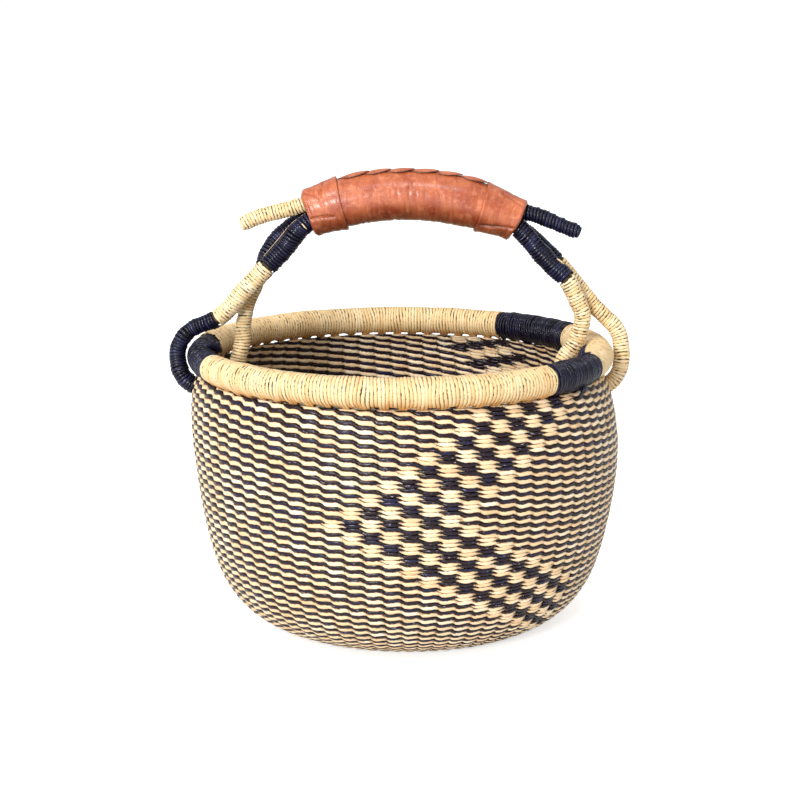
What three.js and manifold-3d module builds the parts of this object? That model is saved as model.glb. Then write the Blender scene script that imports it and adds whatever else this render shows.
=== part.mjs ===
// Market basket: a round twined bowl with a bound rim, and a handle made of one rod that runs three times
// through a leather grip and loops round the rim and through the wall on both sides.
// Millimetres and degrees. +Z is up, the basket stands on z = 0 and the rim is centred over the origin.
// The handle spans X, and the front of the basket faces -Y.

import * as THREE from 'three';
import { mergeVertices } from 'three/addons/utils/BufferGeometryUtils.js';
import Module from 'manifold-3d';

const wasm = await Module();
wasm.setup();

// Gap between pieces that touch
const SEAT_GAP = 0.3;

// Woven body: the outline runs from the base over the hip and the belly to the neck under the rim
const BASE_RADIUS = 77;
const HIP_RADIUS = 133;
const HIP_HEIGHT = 50;
const BELLY_RADIUS = 144.5;
const BELLY_HEIGHT = 126;
const WEAVE_THICKNESS = 4.4;
const WEAVE_VALLEY_THICKNESS = 2.2;
const BODY_LEAN = 4.5;
const STAKES = 72;
const STAKE_WIDTH = 5.4;
const STAKE_DEPTH = 2.2;
const LIGHT_GAP = 2.2;

// Rim: a straw roll bent into a ring, under one layer of straw binding
const RIM_RADIUS = 134;
const RIM_HEIGHT = 183;
const RIM_ROLL_RADIUS = 9.6;
const RIM_BINDING_THICKNESS = 1.3;

// Handle rod, bound with straw outside the grip
const ROD_RADIUS = 5.95;
const STUB_RADIUS = 5.35;
const LEFT_STUB_REACH = 43;
const LEFT_STUB_DROP = 14.2;
const RIGHT_STUB_REACH = 38;
const RIGHT_STUB_DROP = 14;
const ROD_CORE_RADIUS = 4.4;
const ROD_IN_GRIP_RADIUS = 4.9;
const STRAND_GAP = 0.85;
const LOOP_OUTER_PLAY = 0.6;
const LOOP_INNER_PLAY = 8.6;
const LOOP_DROP = 9.8;
const WALL_HOLE_CLEARANCE = 1.3;
const STUB_TIP_DOME = 2.6;

// Leather grip, bent along an arc over the basket
const GRIP_ARC_RADIUS = 175;
const GRIP_ARC_SHIFT = 3.3;
const GRIP_HEIGHT = 289;
const GRIP_LEFT_ANGLE = -21.3;
const GRIP_RIGHT_ANGLE = 25.6;
const GRIP_RADIUS = 17.1;
const GRIP_LEFT_END_RADIUS = 14.9;
const GRIP_RIGHT_END_RADIUS = 13.3;
const LEATHER_THICKNESS = 1;
const LEFT_CUFF_LENGTH = 23;
const RIGHT_CUFF_LENGTH = 27;
const LACE_LEAVES = 8;
const LACE_WIDTH = 7;
const LACE_THICKNESS = 3;
const LACE_TURN = 12;

// Straw binding: each rib stands for a few turns
const RIB_PITCH = 9;
const RIB_DEPTH = 0.55;
const RIM_RIB_DEPTH = 0.8;

// Facets
const WALL_FACETS = 2 * STAKES;
const BASE_FACETS = 48;
const RIM_FACETS = 66;
const TUBE_SIDES = 8;
const GRIP_SIDES = 14;
const OUTLINE_STEPS = 3;

// Finishes
const NATURAL = new THREE.MeshStandardMaterial({ color: 0xd8bb82, roughness: 0.7, metalness: 0 });
const NAVY = new THREE.MeshStandardMaterial({ color: 0x1e2140, roughness: 0.5, metalness: 0 });
const WEAVE = new THREE.MeshStandardMaterial({ color: 0x8c7a62, roughness: 0.7, metalness: 0 });
const LEATHER = new THREE.MeshStandardMaterial({ color: 0xa65232, roughness: 0.45, metalness: 0 });

const radians = THREE.MathUtils.degToRad;
const { lerp, smoothstep } = THREE.MathUtils;

// Solids

function signedVolume(position, corners) {
  const [a, b, c] = [new THREE.Vector3(), new THREE.Vector3(), new THREE.Vector3()];
  let volume = 0;
  for (let i = 0; i < corners.length; i += 3) {
    a.fromBufferAttribute(position, corners[i]);
    b.fromBufferAttribute(position, corners[i + 1]);
    c.fromBufferAttribute(position, corners[i + 2]);
    volume += a.dot(b.cross(c)) / 6;
  }
  return volume;
}

// One closed body: shared vertices merged, flat slivers dropped, faces turned outward
function closed(geometry) {
  const bare = geometry.clone();
  bare.deleteAttribute('normal');
  bare.deleteAttribute('uv');
  const merged = mergeVertices(bare);
  const corners = [];
  const index = merged.index.array;
  for (let i = 0; i < index.length; i += 3) {
    const [a, b, c] = [index[i], index[i + 1], index[i + 2]];
    if (a !== b && b !== c && c !== a) corners.push(a, b, c);
  }
  if (signedVolume(merged.attributes.position, corners) < 0) corners.reverse();
  merged.setIndex(corners);
  return merged;
}

function toSolid(geometry) {
  const vertProperties = new Float32Array(geometry.attributes.position.array);
  const triVerts = new Uint32Array(geometry.index.array);
  return new wasm.Manifold(new wasm.Mesh({ numProp: 3, vertProperties, triVerts }));
}

function toGeometry(solid) {
  const mesh = solid.getMesh();
  const geometry = new THREE.BufferGeometry();
  geometry.setAttribute('position', new THREE.BufferAttribute(new Float32Array(mesh.vertProperties), 3));
  geometry.setIndex([...mesh.triVerts]);
  return geometry;
}

function movePoints(geometry, place) {
  const position = geometry.attributes.position;
  const point = new THREE.Vector3();
  for (let i = 0; i < position.count; i += 1) {
    point.fromBufferAttribute(position, i);
    place(point);
    position.setXYZ(i, point.x, point.y, point.z);
  }
  return geometry;
}

// A closed profile of [radius, height] pairs, revolved about Z
function revolved(profile, facets) {
  const points = profile.map(([radius, height]) => new THREE.Vector2(radius, height));
  return closed(new THREE.LatheGeometry(points, facets).rotateX(Math.PI / 2));
}

// A straight tube along Y from a profile of [radius, distance] pairs, with a flat side facing each axis
function straightTube(profile, sides) {
  const points = profile.map(([radius, along]) => new THREE.Vector2(radius, along));
  return new THREE.LatheGeometry(points, sides, Math.PI / sides);
}

// A straw binding as a straight sleeve: ribs outside, a plain bore inside
function bindingProfile(length, bore, radius, ribDepth, ribs, ribsPerBoreRing) {
  const profile = [];
  for (let rib = 0; rib < ribs; rib += ribsPerBoreRing) profile.push([bore, (length * rib) / ribs]);
  profile.push([bore, length]);
  for (let rib = ribs; rib > 0; rib -= 1) {
    profile.push([radius - ribDepth, (length * rib) / ribs]);
    profile.push([radius, (length * (rib - 0.5)) / ribs]);
  }
  profile.push([radius - ribDepth, 0], [bore, 0]);
  return profile;
}

const ribCount = (length) => Math.max(2, Math.round(length / RIB_PITCH));

// Woven body

const TOP_COURSE_HEIGHT = RIM_HEIGHT - RIM_ROLL_RADIUS - LIGHT_GAP;

// The body leans, so its lower part stands a little to the right of the rim
const LEAN_HEIGHT = 80;
const leanAt = (height) => BODY_LEAN * smoothstep(RIM_HEIGHT - height, 0, LEAN_HEIGHT);
const leaning = (point) => {
  point.x += leanAt(point.z);
};

// Outline of the weave's middle layer as [radius, height, outward x, outward z], from the base edge to the neck
function bodyOutline() {
  const half = WEAVE_THICKNESS / 2;
  const hipSlope = new THREE.Vector2(HIP_HEIGHT * 0.28, HIP_HEIGHT).normalize();
  const base = new THREE.Vector2(BASE_RADIUS, half);
  const hip = new THREE.Vector2(HIP_RADIUS - half, HIP_HEIGHT);
  const belly = new THREE.Vector2(BELLY_RADIUS - half, BELLY_HEIGHT);
  const neck = new THREE.Vector2(RIM_RADIUS, TOP_COURSE_HEIGHT);
  const corner = hip.distanceTo(base);
  const side = belly.y - hip.y;
  const shoulder = neck.y - belly.y;
  const neckSlope = new THREE.Vector2(-0.62, 0.78);
  const spans = [
    new THREE.CubicBezierCurve(
      base,
      new THREE.Vector2(base.x + corner * 0.15, base.y),
      hip.clone().addScaledVector(hipSlope, -corner * 0.62),
      hip,
    ),
    new THREE.CubicBezierCurve(
      hip,
      hip.clone().addScaledVector(hipSlope, side * 0.47),
      new THREE.Vector2(belly.x, belly.y - side * 0.1),
      belly,
    ),
    new THREE.CubicBezierCurve(
      belly,
      new THREE.Vector2(belly.x, belly.y + shoulder * 0.44),
      neck.clone().addScaledVector(neckSlope, -shoulder * 0.2),
      neck,
    ),
  ];
  const outline = [];
  spans.forEach((span, number) => {
    const steps = number === 0 ? OUTLINE_STEPS + 1 : OUTLINE_STEPS - 1;
    for (let step = number === 0 ? 0 : 1; step <= steps; step += 1) {
      const point = span.getPoint(step / steps);
      const tangent = span.getTangent(step / steps);
      outline.push([point.x, point.y, tangent.y, -tangent.x]);
    }
  });
  outline[0][2] = 0;
  outline[0][3] = -1;
  return outline;
}

function baseWeave() {
  const edge = BASE_RADIUS - SEAT_GAP / 2;
  const profile = [[0, 0], [edge, 0], [edge, WEAVE_THICKNESS], [0, WEAVE_THICKNESS]];
  return movePoints(revolved(profile, BASE_FACETS), leaning);
}

// The wall starts as a straight ring, where height is the number of a row of the outline, and is then laid on
// the outline. It is thick over each stake, where the courses bulge, and thin between two stakes.
function wallWeave() {
  const ring = RIM_RADIUS;
  const half = WEAVE_THICKNESS / 2;
  const outline = bodyOutline();
  const neck = outline.length - 1;
  outline[0][0] += SEAT_GAP / 2;
  outline[neck] = [RIM_RADIUS, TOP_COURSE_HEIGHT, 1, 0];
  const outside = outline.map((_, row) => [ring + half, row]);
  const inside = outline.map((_, row) => [ring - half, row]).reverse();
  const straight = revolved([...outside, ...inside, outside[0]], WALL_FACETS);
  const laid = movePoints(straight, (point) => {
    const [radius, height, outX, outZ] = outline[Math.round(point.z)];
    const angle = Math.atan2(point.y, point.x);
    const overStake = Math.round((angle / Math.PI) * STAKES) % 2 !== 0;
    const bulge = overStake ? 1 : WEAVE_VALLEY_THICKNESS / WEAVE_THICKNESS;
    const depth = (Math.hypot(point.x, point.y) - ring) * bulge;
    const reach = radius + outX * depth;
    point.set(reach * Math.cos(angle), reach * Math.sin(angle), height + outZ * depth);
  });
  let wall = toSolid(laid);
  for (let stake = 0; stake < STAKES; stake += 1) {
    wall = wall.add(stakeEnd(RIM_RADIUS, (360 * (stake + 0.5)) / STAKES));
  }
  const leaned = toSolid(movePoints(toGeometry(wall), leaning));
  return toGeometry(leaned.subtract(wallHole(-1)).subtract(wallHole(1)));
}

// A stake's end stands on the top course and reaches up to the rim
function stakeEnd(radius, angle) {
  const rootDepth = 1;
  const rimUnderside = RIM_HEIGHT - RIM_ROLL_RADIUS * Math.cos(Math.PI / TUBE_SIDES);
  const height = rimUnderside - SEAT_GAP - TOP_COURSE_HEIGHT + rootDepth;
  const post = new THREE.BoxGeometry(STAKE_DEPTH, STAKE_WIDTH, height);
  post.translate(radius, 0, TOP_COURSE_HEIGHT - rootDepth + height / 2);
  post.rotateZ(radians(angle));
  return toSolid(closed(post));
}

// Rim

// The bore of a binding is straight from ring to ring, so it cuts this far into the curve of the roll
const RIM_BORE_SAG = (2 * RIB_PITCH) ** 2 / (8 * RIM_RADIUS);

function rimCore() {
  const radius = RIM_ROLL_RADIUS - RIM_BINDING_THICKNESS - SEAT_GAP - RIM_BORE_SAG;
  const section = [];
  for (let side = 0; side <= TUBE_SIDES; side += 1) {
    const turn = radians((360 * (side + 0.5)) / TUBE_SIDES);
    section.push([RIM_RADIUS + radius * Math.cos(turn), RIM_HEIGHT + radius * Math.sin(turn)]);
  }
  return revolved(section, RIM_FACETS);
}

function rimBinding(fromAngle, toAngle) {
  const gapAngle = THREE.MathUtils.radToDeg(SEAT_GAP / 2 / RIM_RADIUS);
  const start = radians(fromAngle + gapAngle);
  const length = radians(toAngle - fromAngle - 2 * gapAngle) * RIM_RADIUS;
  const bore = RIM_ROLL_RADIUS - RIM_BINDING_THICKNESS;
  const profile = bindingProfile(length, bore, RIM_ROLL_RADIUS, RIM_RIB_DEPTH, ribCount(length), 2);
  const sleeve = straightTube(profile, TUBE_SIDES);
  movePoints(sleeve, (point) => {
    const angle = start + point.y / RIM_RADIUS;
    const radius = RIM_RADIUS + point.x;
    point.set(radius * Math.cos(angle), radius * Math.sin(angle), RIM_HEIGHT + point.z);
  });
  return closed(sleeve);
}

// Grip: distances along it are measured on the arc, from its left end

const GRIP_LENGTH = radians(GRIP_RIGHT_ANGLE - GRIP_LEFT_ANGLE) * GRIP_ARC_RADIUS;
const TRIANGLE_RADIUS = (2 * ROD_RADIUS + STRAND_GAP / 2) / Math.sqrt(3);
const GRIP_BORE = (TRIANGLE_RADIUS + ROD_IN_GRIP_RADIUS + SEAT_GAP) / Math.cos(Math.PI / GRIP_SIDES);

// Takes a straight piece along Y, with +X its top, onto the grip's arc
const onGripArc = (point) => {
  const angle = radians(GRIP_LEFT_ANGLE) + point.y / GRIP_ARC_RADIUS;
  const radius = GRIP_ARC_RADIUS + point.x;
  const arcCentre = GRIP_HEIGHT - GRIP_ARC_RADIUS;
  point.set(GRIP_ARC_SHIFT + radius * Math.sin(angle), point.z, arcCentre + radius * Math.cos(angle));
};

function sleeveRadius(along) {
  const leftTaper = 1 - smoothstep(along, 0, LEFT_CUFF_LENGTH * 1.2);
  const rightTaper = smoothstep(along, GRIP_LENGTH - RIGHT_CUFF_LENGTH * 1.6, GRIP_LENGTH);
  return GRIP_RADIUS
    - (GRIP_RADIUS - GRIP_LEFT_END_RADIUS) * leftTaper
    - (GRIP_RADIUS - GRIP_RIGHT_END_RADIUS) * rightTaper;
}

function steps(from, to, count) {
  return Array.from({ length: count + 1 }, (_, step) => lerp(from, to, step / count));
}

function gripSleeve() {
  const from = LEATHER_THICKNESS + SEAT_GAP;
  const to = GRIP_LENGTH - LEATHER_THICKNESS - SEAT_GAP;
  const bore = steps(from, to, 10).map((along) => [GRIP_BORE, along]);
  const outside = steps(to, from, 14).map((along) => [sleeveRadius(along), along]);
  return closed(movePoints(straightTube([...bore, ...outside, bore[0]], GRIP_SIDES), onGripArc));
}

// A cuff lies over the sleeve, and its hem turns in over the sleeve's end
function gripCuff(end, length) {
  const inward = end === 'left' ? 1 : -1;
  const face = end === 'left' ? 0 : GRIP_LENGTH;
  const hem = face + inward * LEATHER_THICKNESS;
  const edge = face + inward * length;
  const under = steps(hem, edge, 4).map((along) => [sleeveRadius(along) + SEAT_GAP, along]);
  const over = steps(edge, face, 5).map((along) => [sleeveRadius(along) + SEAT_GAP + LEATHER_THICKNESS, along]);
  const profile = [[GRIP_BORE, face], [GRIP_BORE, hem], ...under, ...over, [GRIP_BORE, face]];
  return closed(movePoints(straightTube(profile, GRIP_SIDES), onGripArc));
}

// The thong crosses the seam in flat leaves, each over the end of the last
function gripLace() {
  const from = LEFT_CUFF_LENGTH + SEAT_GAP;
  const to = GRIP_LENGTH - RIGHT_CUFF_LENGTH - SEAT_GAP;
  const pitch = (to - from) / (LACE_LEAVES + 0.3);
  const length = pitch * 1.3;
  let lace = null;
  for (let number = 0; number < LACE_LEAVES; number += 1) {
    const along = from + length / 2 + pitch * number;
    const leaf = new THREE.SphereGeometry(1, 8, 6);
    leaf.scale(LACE_THICKNESS / 2, length / 2, LACE_WIDTH / 2);
    leaf.rotateX(radians(6));
    leaf.translate(sleeveRadius(along), along, 0);
    leaf.rotateY(radians(LACE_TURN));
    const solid = toSolid(closed(movePoints(leaf, onGripArc)));
    lace = lace ? lace.add(solid) : solid;
  }
  const along = steps(0, GRIP_LENGTH, 14);
  const cleared = along.map((place) => [sleeveRadius(place) + SEAT_GAP, place]);
  const profile = [[0, 0], ...cleared, [0, GRIP_LENGTH]];
  const sleeve = toSolid(closed(movePoints(straightTube(profile, GRIP_SIDES), onGripArc)));
  return toGeometry(lace.subtract(sleeve));
}

// Handle rod: its route is one smooth curve through the stretches below

const STRAND_SPREAD = ROD_RADIUS + STRAND_GAP / 2;
const LOOP_OUTER = RIM_RADIUS + RIM_ROLL_RADIUS + ROD_RADIUS + LOOP_OUTER_PLAY;
const LOOP_INNER = RIM_RADIUS - RIM_ROLL_RADIUS - ROD_RADIUS - LOOP_INNER_PLAY;
const LOOP_RADIUS = (LOOP_OUTER - LOOP_INNER) / 2;
const LOOP_CENTRE = (LOOP_OUTER + LOOP_INNER) / 2;
const LOOP_HEIGHT = RIM_HEIGHT - RIM_ROLL_RADIUS - ROD_RADIUS - LOOP_DROP + LOOP_RADIUS;

// Three strands lie in the grip as a triangle, which turns a little on the way from left to right.
// A strand's angle is counted from the back, over the top.
const STRAND_ANGLES = { first: 100, second: 220, third: 340 };
const STRAND_TURN = 112;

function gripPoint(strand, share) {
  const angle = radians(STRAND_ANGLES[strand] + STRAND_TURN * share);
  const point = new THREE.Vector3(
    TRIANGLE_RADIUS * Math.sin(angle),
    GRIP_LENGTH * share,
    TRIANGLE_RADIUS * Math.cos(angle),
  );
  onGripArc(point);
  return point;
}

function gripPass(strand, fromShare, toShare) {
  return steps(fromShare, toShare, 6).slice(0, -1).map((share) => gripPoint(strand, share));
}

// A leg's points as [out, side, up]: out and up are shares of the way from the grip's end to the side of the
// loop, and side is a share of the strands' spread, with the back positive
function leg(side, gripEnd, loopSide, rows) {
  return rows.map(([out, spread, up]) => new THREE.Vector3(
    side * lerp(Math.abs(gripEnd.x), loopSide, out),
    spread * STRAND_SPREAD,
    lerp(LOOP_HEIGHT, gripEnd.z, up),
  ));
}

// The lower half of a loop, from its inner side under the rim to its outer side
function loop(side, innerY, outerY) {
  return steps(0, 1, 6).map((share) => {
    const angle = Math.PI * (1 + share);
    return new THREE.Vector3(
      side * (LOOP_CENTRE + LOOP_RADIUS * Math.cos(angle)),
      lerp(innerY, outerY, share),
      LOOP_HEIGHT + LOOP_RADIUS * Math.sin(angle),
    );
  });
}

// A stub's points as [out, down]: shares of its reach and its drop from the strand's end in the grip
function stub(side, gripEnd, reach, drop, rows) {
  return rows.map(([out, down]) => (
    new THREE.Vector3(gripEnd.x + side * out * reach, gripEnd.y, gripEnd.z - down * drop)
  ));
}

const leftTop = gripPoint('first', 0);
const leftFront = gripPoint('second', 0);
const leftBack = gripPoint('third', 0);
const rightFront = gripPoint('first', 1);
const rightBack = gripPoint('second', 1);
const rightTop = gripPoint('third', 1);

const rightLoop = loop(1, -3, 1.5);
const leftLoop = loop(-1, 3, -1.5).reverse();

// Each stretch holds its first point, and ends at the first point of the next
const stretches = [
  {
    name: 'left_stub_binding',
    finish: NATURAL,
    radius: STUB_RADIUS,
    points: stub(-1, leftTop, LEFT_STUB_REACH, LEFT_STUB_DROP, [
      [1, 1], [0.84, 0.76], [0.64, 0.535], [0.395, 0.352], [0.174, 0.176],
    ]),
  },
  { points: gripPass('first', 0, 1) },
  {
    name: 'right_front_navy_binding',
    finish: NAVY,
    radius: ROD_RADIUS,
    points: [
      rightFront,
      ...leg(1, rightFront, LOOP_INNER, [[0.222, -1, 0.926], [0.498, -1.02, 0.811], [0.777, -1, 0.706]]),
    ],
  },
  {
    name: 'right_loop_binding',
    finish: NATURAL,
    radius: ROD_RADIUS,
    closeRings: true,
    points: [
      ...leg(1, rightFront, LOOP_INNER, [
        [1.029, -1, 0.622], [1.235, -0.99, 0.482], [1.382, -0.89, 0.346], [1.345, -0.75, 0.237],
        [1.21, -0.63, 0.116],
      ]),
      ...rightLoop,
      ...leg(1, rightBack, LOOP_OUTER, [
        [0.992, 0.41, 0.112], [0.972, 0.55, 0.189], [0.924, 0.68, 0.254], [0.844, 0.8, 0.314], [0.737, 0.91, 0.399],
        [0.562, 1, 0.571],
      ]),
    ],
  },
  {
    name: 'right_back_navy_binding',
    finish: NAVY,
    radius: ROD_RADIUS,
    points: leg(1, rightBack, LOOP_OUTER, [[0.393, 1, 0.73], [0.244, 1.02, 0.841], [0.097, 1.02, 0.943]]),
  },
  { points: gripPass('second', 1, 0) },
  {
    name: 'left_front_navy_binding',
    finish: NAVY,
    radius: ROD_RADIUS,
    points: [
      leftFront,
      ...leg(-1, leftFront, LOOP_OUTER, [[0.1, -0.96, 0.926], [0.195, -1.01, 0.808]]),
    ],
  },
  {
    name: 'left_front_natural_binding',
    finish: NATURAL,
    radius: ROD_RADIUS,
    points: leg(-1, leftFront, LOOP_OUTER, [[0.324, -1, 0.678], [0.501, -0.99, 0.501], [0.627, -0.85, 0.364]]),
  },
  {
    name: 'left_loop_binding',
    finish: NAVY,
    radius: ROD_RADIUS,
    closeRings: true,
    points: [
      ...leg(-1, leftFront, LOOP_OUTER, [
        [0.706, -0.68, 0.304], [0.79, -0.46, 0.27], [0.88, -0.32, 0.233], [0.953, -0.28, 0.172], [0.995, -0.25, 0.09],
      ]),
      ...leftLoop.slice(0, 5),
    ],
  },
  {
    name: 'left_inner_binding',
    finish: NATURAL,
    radius: ROD_RADIUS,
    closeRings: true,
    points: [
      ...leftLoop.slice(5),
      ...leg(-1, leftBack, LOOP_INNER, [
        [0.942, 0.75, 0.123], [0.92, 0.96, 0.254], [0.86, 1, 0.382], [0.757, 1, 0.5],
      ]),
    ],
  },
  {
    name: 'left_back_navy_binding',
    finish: NAVY,
    radius: ROD_RADIUS,
    points: leg(-1, leftBack, LOOP_INNER, [
      [0.68, 1, 0.607], [0.619, 1, 0.703], [0.512, 1.01, 0.806], [0.355, 1.02, 0.889], [0.167, 1.03, 0.961],
    ]),
  },
  { points: gripPass('third', 0, 1) },
  {
    name: 'right_stub_binding',
    finish: NAVY,
    radius: STUB_RADIUS,
    points: stub(1, rightTop, RIGHT_STUB_REACH, RIGHT_STUB_DROP, [
      [0, 0], [0.217, 0.15], [0.5, 0.46], [0.765, 0.77], [1, 1],
    ]),
  },
];

const routePoints = stretches.flatMap((stretch) => stretch.points);
const route = new THREE.CatmullRomCurve3(routePoints, false, 'centripetal');
const DIVISIONS_PER_SPAN = 40;
route.arcLengthDivisions = (routePoints.length - 1) * DIVISIONS_PER_SPAN;
const routeLengths = route.getLengths();
const ROUTE_LENGTH = route.getLength();
const ROUTE_STATIONS = Math.round(ROUTE_LENGTH);
const routeFrames = route.computeFrenetFrames(ROUTE_STATIONS, false);
const routeStations = route.getSpacedPoints(ROUTE_STATIONS);

// Where each stretch starts and ends along the route
let pointsBefore = 0;
for (const stretch of stretches) {
  stretch.from = routeLengths[pointsBefore * DIVISIONS_PER_SPAN];
  pointsBefore += stretch.points.length;
  stretch.to = routeLengths[Math.min(pointsBefore, routePoints.length - 1) * DIVISIONS_PER_SPAN];
}

// Takes a straight piece along Y onto the route, starting at a distance along it
function onRoute(from) {
  return (point) => {
    const along = THREE.MathUtils.clamp(from + point.y, 0, ROUTE_LENGTH);
    const place = (along / ROUTE_LENGTH) * ROUTE_STATIONS;
    const station = Math.min(Math.floor(place), ROUTE_STATIONS - 1);
    const share = place - station;
    const centre = routeStations[station].clone().lerp(routeStations[station + 1], share);
    const normal = routeFrames.normals[station].clone().lerp(routeFrames.normals[station + 1], share).normalize();
    const binormal = routeFrames.binormals[station].clone()
      .lerp(routeFrames.binormals[station + 1], share).normalize();
    point.set(...centre.addScaledVector(normal, point.x).addScaledVector(binormal, -point.z).toArray());
  };
}

const ribsPerRing = (stretch) => (stretch.closeRings ? 1 : 2);

function bindingSpan(stretch) {
  const free = stretch === stretches[0] ? STUB_TIP_DOME * 0.6 : SEAT_GAP;
  const freeEnd = stretch === stretches[stretches.length - 1] ? STUB_TIP_DOME * 0.6 : SEAT_GAP;
  const from = stretch.from + free;
  const length = stretch.to - freeEnd - from;
  return { from, length, ribs: ribCount(length) };
}

function rodBinding(stretch) {
  const { from, length, ribs } = bindingSpan(stretch);
  const bore = ROD_CORE_RADIUS + SEAT_GAP;
  const profile = bindingProfile(length, bore, stretch.radius, RIB_DEPTH, ribs, ribsPerRing(stretch));
  return closed(movePoints(straightTube(profile, TUBE_SIDES), onRoute(from)));
}

// The bare rod is thicker inside the grip, where its own binding isn't a piece apart
function handleRod() {
  const profile = [[0, 0], [ROD_CORE_RADIUS * 0.72, STUB_TIP_DOME * 0.25]];
  for (const stretch of stretches) {
    if (stretch.name) {
      const { from, length, ribs } = bindingSpan(stretch);
      const first = stretch === stretches[0] ? STUB_TIP_DOME : stretch.from;
      const last = stretch === stretches[stretches.length - 1] ? stretch.to - STUB_TIP_DOME : stretch.to;
      profile.push([ROD_CORE_RADIUS, first]);
      for (let rib = ribsPerRing(stretch); rib < ribs; rib += ribsPerRing(stretch)) {
        profile.push([ROD_CORE_RADIUS, from + (length * rib) / ribs]);
      }
      profile.push([ROD_CORE_RADIUS, last]);
    } else {
      for (const along of steps(stretch.from, stretch.to, 8)) profile.push([ROD_IN_GRIP_RADIUS, along]);
    }
  }
  profile.push([ROD_CORE_RADIUS * 0.72, ROUTE_LENGTH - STUB_TIP_DOME * 0.25], [0, ROUTE_LENGTH]);
  return closed(movePoints(straightTube(profile, TUBE_SIDES), onRoute(0)));
}

// The rod's way through the wall under the rim
function wallHole(side) {
  const lowest = routePoints.indexOf(side < 0 ? leftLoop[3] : rightLoop[3]);
  const middle = routeLengths[lowest * DIVISIONS_PER_SPAN];
  const reach = LOOP_RADIUS * 1.1;
  const radius = ROD_RADIUS + WALL_HOLE_CLEARANCE;
  const along = steps(0, 2 * reach, 8);
  const profile = [[0, 0], ...along.map((place) => [radius, place]), [0, 2 * reach]];
  return toSolid(closed(movePoints(straightTube(profile, 12), onRoute(middle - reach))));
}

// Least gap between strands of the rod that lie apart along it
function leastRodGap() {
  let least = Infinity;
  const apart = 60;
  const bound = (along) => stretches.find((stretch) => along <= stretch.to + 1).radius ?? ROD_IN_GRIP_RADIUS;
  for (let first = 0; first < ROUTE_STATIONS; first += 2) {
    for (let second = first + apart; second < ROUTE_STATIONS; second += 2) {
      const gap = routeStations[first].distanceTo(routeStations[second]) - bound(first) - bound(second);
      least = Math.min(least, gap);
    }
  }
  return least;
}

// The assembly

function piece(name, geometry, finish) {
  const mesh = new THREE.Mesh(geometry, finish);
  mesh.name = name;
  return mesh;
}

const basket = new THREE.Group();
basket.add(
  piece('base_weave', baseWeave(), WEAVE),
  piece('wall_weave', wallWeave(), WEAVE),
  piece('rim_core', rimCore(), NATURAL),
  piece('rim_binding_front', rimBinding(-154, -46.5), NATURAL),
  piece('rim_binding_front_right', rimBinding(-46.5, -23), NAVY),
  piece('rim_binding_right', rimBinding(-23, 25), NATURAL),
  piece('rim_binding_back_right', rimBinding(25, 56), NAVY),
  piece('rim_binding_back', rimBinding(56, 170), NATURAL),
  piece('rim_binding_left', rimBinding(170, 206), NAVY),
);

const handle = new THREE.Group();
handle.add(
  piece('handle_rod', handleRod(), NATURAL),
  piece('grip_sleeve', gripSleeve(), LEATHER),
  piece('grip_cuff_left', gripCuff('left', LEFT_CUFF_LENGTH), LEATHER),
  piece('grip_cuff_right', gripCuff('right', RIGHT_CUFF_LENGTH), LEATHER),
  piece('grip_lace', gripLace(), LEATHER),
);
for (const stretch of stretches.filter(({ name }) => name)) {
  handle.add(piece(stretch.name, rodBinding(stretch), stretch.finish));
}

console.log(`handle rod: ${ROUTE_LENGTH.toFixed(0)} mm long, least gap to itself ${leastRodGap().toFixed(2)} mm`);

const marketBasket = new THREE.Group();
marketBasket.add(basket, handle);

export default marketBasket;
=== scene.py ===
# %% [markdown]
# # A market basket
# A round basket twined from natural and navy straw, with a bound rim and a bail handle in a leather grip.
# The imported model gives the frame: where the bowl, the rim, the rod and the grip are. This scene gives each
# of them its real surface: thousands of stitches, the turns of the straw bindings, and creased leather.

# %% Load the frame
import math
from collections import namedtuple

import bmesh
import bpy
import numpy as np
from mathutils import Matrix, Vector


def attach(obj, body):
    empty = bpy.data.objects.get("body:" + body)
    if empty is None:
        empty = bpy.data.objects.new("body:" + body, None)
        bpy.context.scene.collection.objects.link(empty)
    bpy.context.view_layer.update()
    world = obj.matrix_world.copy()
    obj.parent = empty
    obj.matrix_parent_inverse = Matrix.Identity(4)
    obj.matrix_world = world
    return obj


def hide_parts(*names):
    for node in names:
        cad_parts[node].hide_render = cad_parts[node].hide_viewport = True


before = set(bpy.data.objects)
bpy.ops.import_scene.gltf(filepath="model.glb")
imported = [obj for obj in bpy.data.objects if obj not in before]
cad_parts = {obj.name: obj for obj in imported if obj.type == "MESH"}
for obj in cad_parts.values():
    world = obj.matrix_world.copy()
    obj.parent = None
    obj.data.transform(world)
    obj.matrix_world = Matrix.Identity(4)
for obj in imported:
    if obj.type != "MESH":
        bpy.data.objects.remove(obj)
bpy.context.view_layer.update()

MM = 0.001
SEED = 7
chance = np.random.default_rng(SEED)

# %% [markdown]
# ## Writing shader maths in Python
# A finish is a small program: noise and masks that are added and multiplied. Its nodes could be linked one
# by one, but such a list is hard to read. A class that wraps a socket and has operators lets the program be
# written as a formula, which adds the nodes.

# %% Signals and finishes


class Signal:
    def __init__(self, finish, socket):
        self.finish = finish
        self.socket = socket

    def maths(self, operation, *values):
        return self.finish.node("Math", {"operation": operation}, dict(enumerate(values)))

    def __add__(self, other):
        return self.maths("ADD", self, other)

    def __rsub__(self, other):
        return self.maths("SUBTRACT", other, self)

    def __mul__(self, other):
        return self.maths("MULTIPLY", self, other)

    def between(self, low, high):
        """0 below low, 1 above high, smooth between."""
        settings = {"interpolation_type": "SMOOTHSTEP"}
        return self.finish.node("MapRange", settings, {"Value": self, "From Min": low, "From Max": high})


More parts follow.
